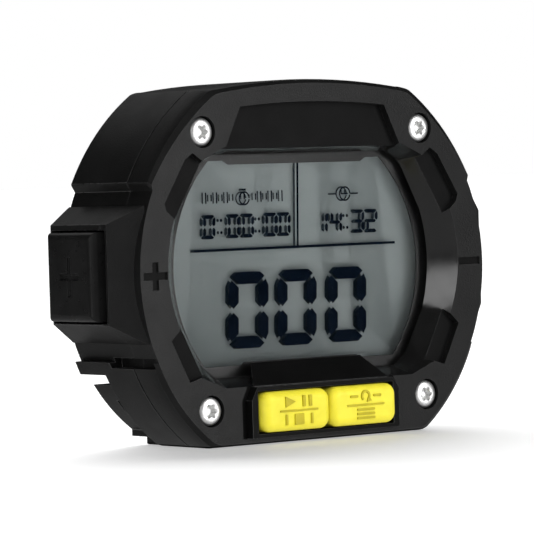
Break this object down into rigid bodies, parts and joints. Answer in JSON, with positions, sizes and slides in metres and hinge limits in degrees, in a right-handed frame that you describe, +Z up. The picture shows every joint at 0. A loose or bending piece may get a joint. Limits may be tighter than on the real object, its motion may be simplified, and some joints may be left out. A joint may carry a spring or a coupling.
{
  "type": "digital stopwatch timer",
  "caption": "Free-standing digital stopwatch with clock and interval counter: rugged black case, grey LCD, front keys, side keys and a fold-out rear stand.",
  "frame": {"origin": "on the surface the timer stands on, below the middle of its width and depth", "axes": "+X to the right of a person reading the display, +Y to the back, +Z up"},
  "size_m": [0.1, 0.0288, 0.0716],
  "materials": {
    "shell": "fine moulded texture",
    "side_key_rubber": "smooth, slightly satin",
    "yellow_silicone": "matte silicone",
    "screw_steel": "satin",
    "insert_brass": "knurled",
    "clear_lens": "polished acrylic",
    "border_print": "printed black",
    "lcd_glass": "polished",
    "reflector": "grey-green film",
    "holder_plastic": "moulded",
    "seal_rubber": "matte",
    "board_laminate": "solder mask",
    "chip_epoxy": "epoxy",
    "crystal_can": "bright",
    "capacitor_ceramic": "ceramic",
    "switch_plastic": "moulded",
    "plunger_plastic": "moulded",
    "spring_steel": "nickel plated",
    "cell_jacket": "printed sleeve"
  },
  "bodies": {
    "case": {"front_bezel": "shell", "main_case": "shell", "button_surround": "shell", "bezel_screws": "screw_steel", "thread_inserts": "insert_brass", "lens_gasket": "seal_rubber", "display_lens": "clear_lens", "display_border": "border_print", "lcd_front_glass": "lcd_glass", "lcd_rear_glass": "lcd_glass", "lcd_reflector": "reflector", "lcd_holder": "holder_plastic", "zebra_strip": "seal_rubber", "main_board": "board_laminate", "board_screws": "screw_steel", "controller_chip": "chip_epoxy", "quartz_crystal": "crystal_can", "capacitors": "capacitor_ceramic", "buzzer": "chip_epoxy", "front_switches": "switch_plastic", "side_switches": "switch_plastic", "front_key_seal": "seal_rubber", "side_key_seals": "seal_rubber", "start_stop_spring": "spring_steel", "reset_mode_spring": "spring_steel", "plus_spring": "spring_steel", "minus_spring": "spring_steel", "battery_cell_lower": "cell_jacket", "battery_cell_upper": "cell_jacket", "battery_plates": "spring_steel", "battery_spring_lower": "spring_steel", "battery_spring_upper": "spring_steel", "battery_door_seal": "seal_rubber", "stand_hinge_pin": "screw_steel"},
    "start_stop": {"start_stop_key": "yellow_silicone", "start_stop_plunger": "plunger_plastic"},
    "reset_mode": {"reset_mode_key": "yellow_silicone", "reset_mode_plunger": "plunger_plastic"},
    "plus": {"plus_key": "side_key_rubber", "plus_plunger": "plunger_plastic"},
    "minus": {"minus_key": "side_key_rubber", "minus_plunger": "plunger_plastic"},
    "door": {"battery_door": "shell", "door_screws": "screw_steel"},
    "stand": {"rear_stand": "shell", "stand_pads": "seal_rubber"}
  },
  "joints": [
    {"name": "start_stop_press", "type": "slide", "parent": "case", "child": "start_stop", "axis": [0, 1, 0], "range_m": [0, 0.0007], "stiffness_N_per_m": 600, "springref_m": -0.0001, "deforming": ["start_stop_spring"]},
    {"name": "reset_mode_press", "type": "slide", "parent": "case", "child": "reset_mode", "axis": [0, 1, 0], "range_m": [0, 0.0007], "stiffness_N_per_m": 600, "springref_m": -0.0001, "deforming": ["reset_mode_spring"]},
    {"name": "plus_press", "type": "slide", "parent": "case", "child": "plus", "axis": [1, 0, 0], "range_m": [0, 0.0007], "stiffness_N_per_m": 700, "springref_m": -0.0001, "deforming": ["plus_spring"]},
    {"name": "minus_press", "type": "slide", "parent": "case", "child": "minus", "axis": [-1, 0, 0], "range_m": [0, 0.0007], "stiffness_N_per_m": 700, "springref_m": -0.0001, "deforming": ["minus_spring"]},
    {"name": "battery_door_lift", "type": "slide", "parent": "case", "child": "door", "axis": [0, 1, 0], "range_m": [0, 0.014]},
    {"name": "stand_fold", "type": "hinge", "parent": "case", "child": "stand", "pos_m": [0, 0.0122, 0.0376], "axis": [1, 0, 0], "range_deg": [0, 50]}
  ]
}
